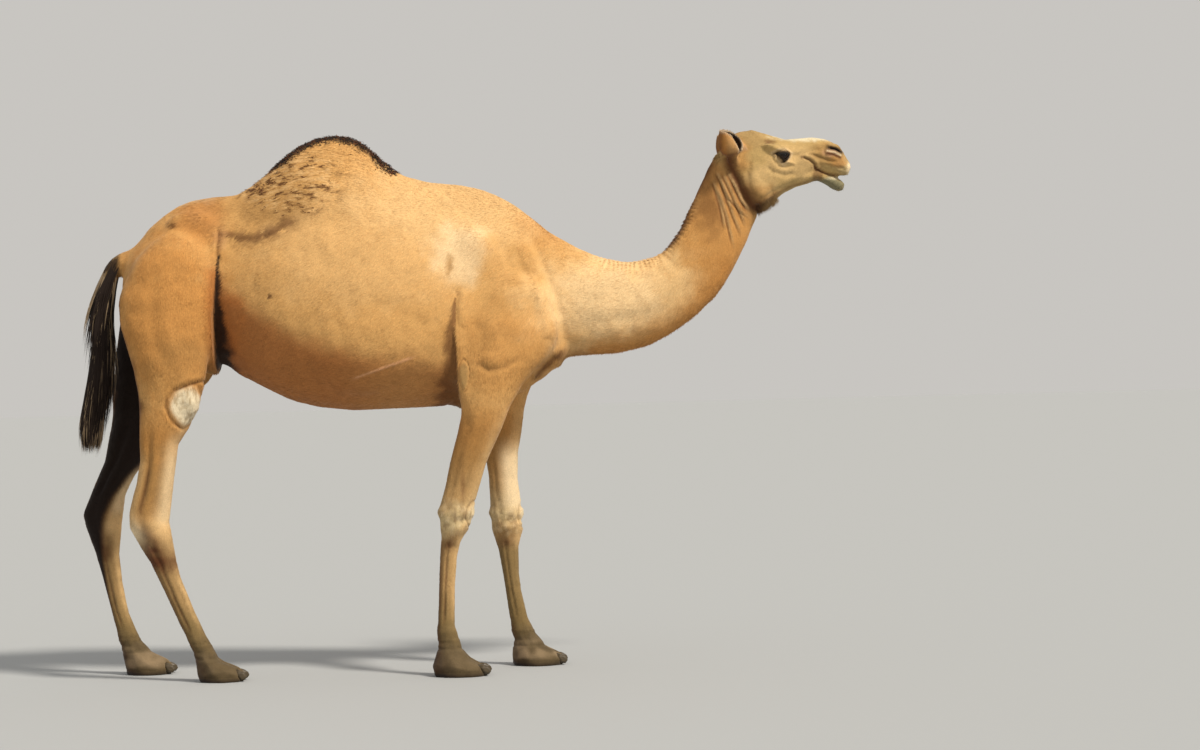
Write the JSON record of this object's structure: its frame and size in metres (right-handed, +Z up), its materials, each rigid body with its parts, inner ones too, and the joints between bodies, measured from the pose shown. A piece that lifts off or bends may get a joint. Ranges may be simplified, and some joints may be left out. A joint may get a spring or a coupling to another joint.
{
  "type": "camel",
  "caption": "Life-size one-humped camel standing still, head held forward, mouth a little open, tail hanging, resting on the soles of its feet.",
  "frame": {"origin": "on the ground, under the middle of the camel's overall length and on its midline", "axes": "+X towards the head, +Y towards the camel's left side, +Z up"},
  "size_m": [2.9643, 0.6147, 2.0362],
  "materials": {
    "coat_sand": "short dense golden tan hair, matt with a soft sheen",
    "coat_face": "very short pale tan hair, matt",
    "coat_shank": "very short grey-brown hair over tough skin, matt",
    "tail_hair": "long coarse dark brown hair",
    "eye_wet": "wet and dark brown",
    "nail_horn": "dull worn horn"
  },
  "bodies": {
    "root": {"croup": "coat_sand", "ear_left": "coat_face", "ear_right": "coat_face", "eye_left": "eye_wet", "eye_right": "eye_wet", "foreleg_left_arm": "coat_sand", "foreleg_left_cannon": "coat_shank", "foreleg_left_foot": "coat_shank", "foreleg_left_forearm": "coat_sand", "foreleg_left_nail_inner": "nail_horn", "foreleg_left_nail_outer": "nail_horn", "foreleg_right_arm": "coat_sand", "foreleg_right_cannon": "coat_shank", "foreleg_right_foot": "coat_shank", "foreleg_right_forearm": "coat_sand", "foreleg_right_nail_inner": "nail_horn", "foreleg_right_nail_outer": "nail_horn", "head": "coat_face", "hindleg_left_cannon": "coat_shank", "hindleg_left_foot": "coat_shank", "hindleg_left_gaskin": "coat_sand", "hindleg_left_nail_inner": "nail_horn", "hindleg_left_nail_outer": "nail_horn", "hindleg_left_thigh": "coat_sand", "hindleg_right_cannon": "coat_shank", "hindleg_right_foot": "coat_shank", "hindleg_right_gaskin": "coat_sand", "hindleg_right_nail_inner": "nail_horn", "hindleg_right_nail_outer": "nail_horn", "hindleg_right_thigh": "coat_sand", "hump": "coat_sand", "lower_jaw": "coat_face", "neck_base": "coat_sand", "neck_middle": "coat_sand", "neck_upper": "coat_sand", "tail_dock": "tail_hair", "tail_tuft": "tail_hair", "trunk": "coat_sand"}
  },
  "joints": []
}
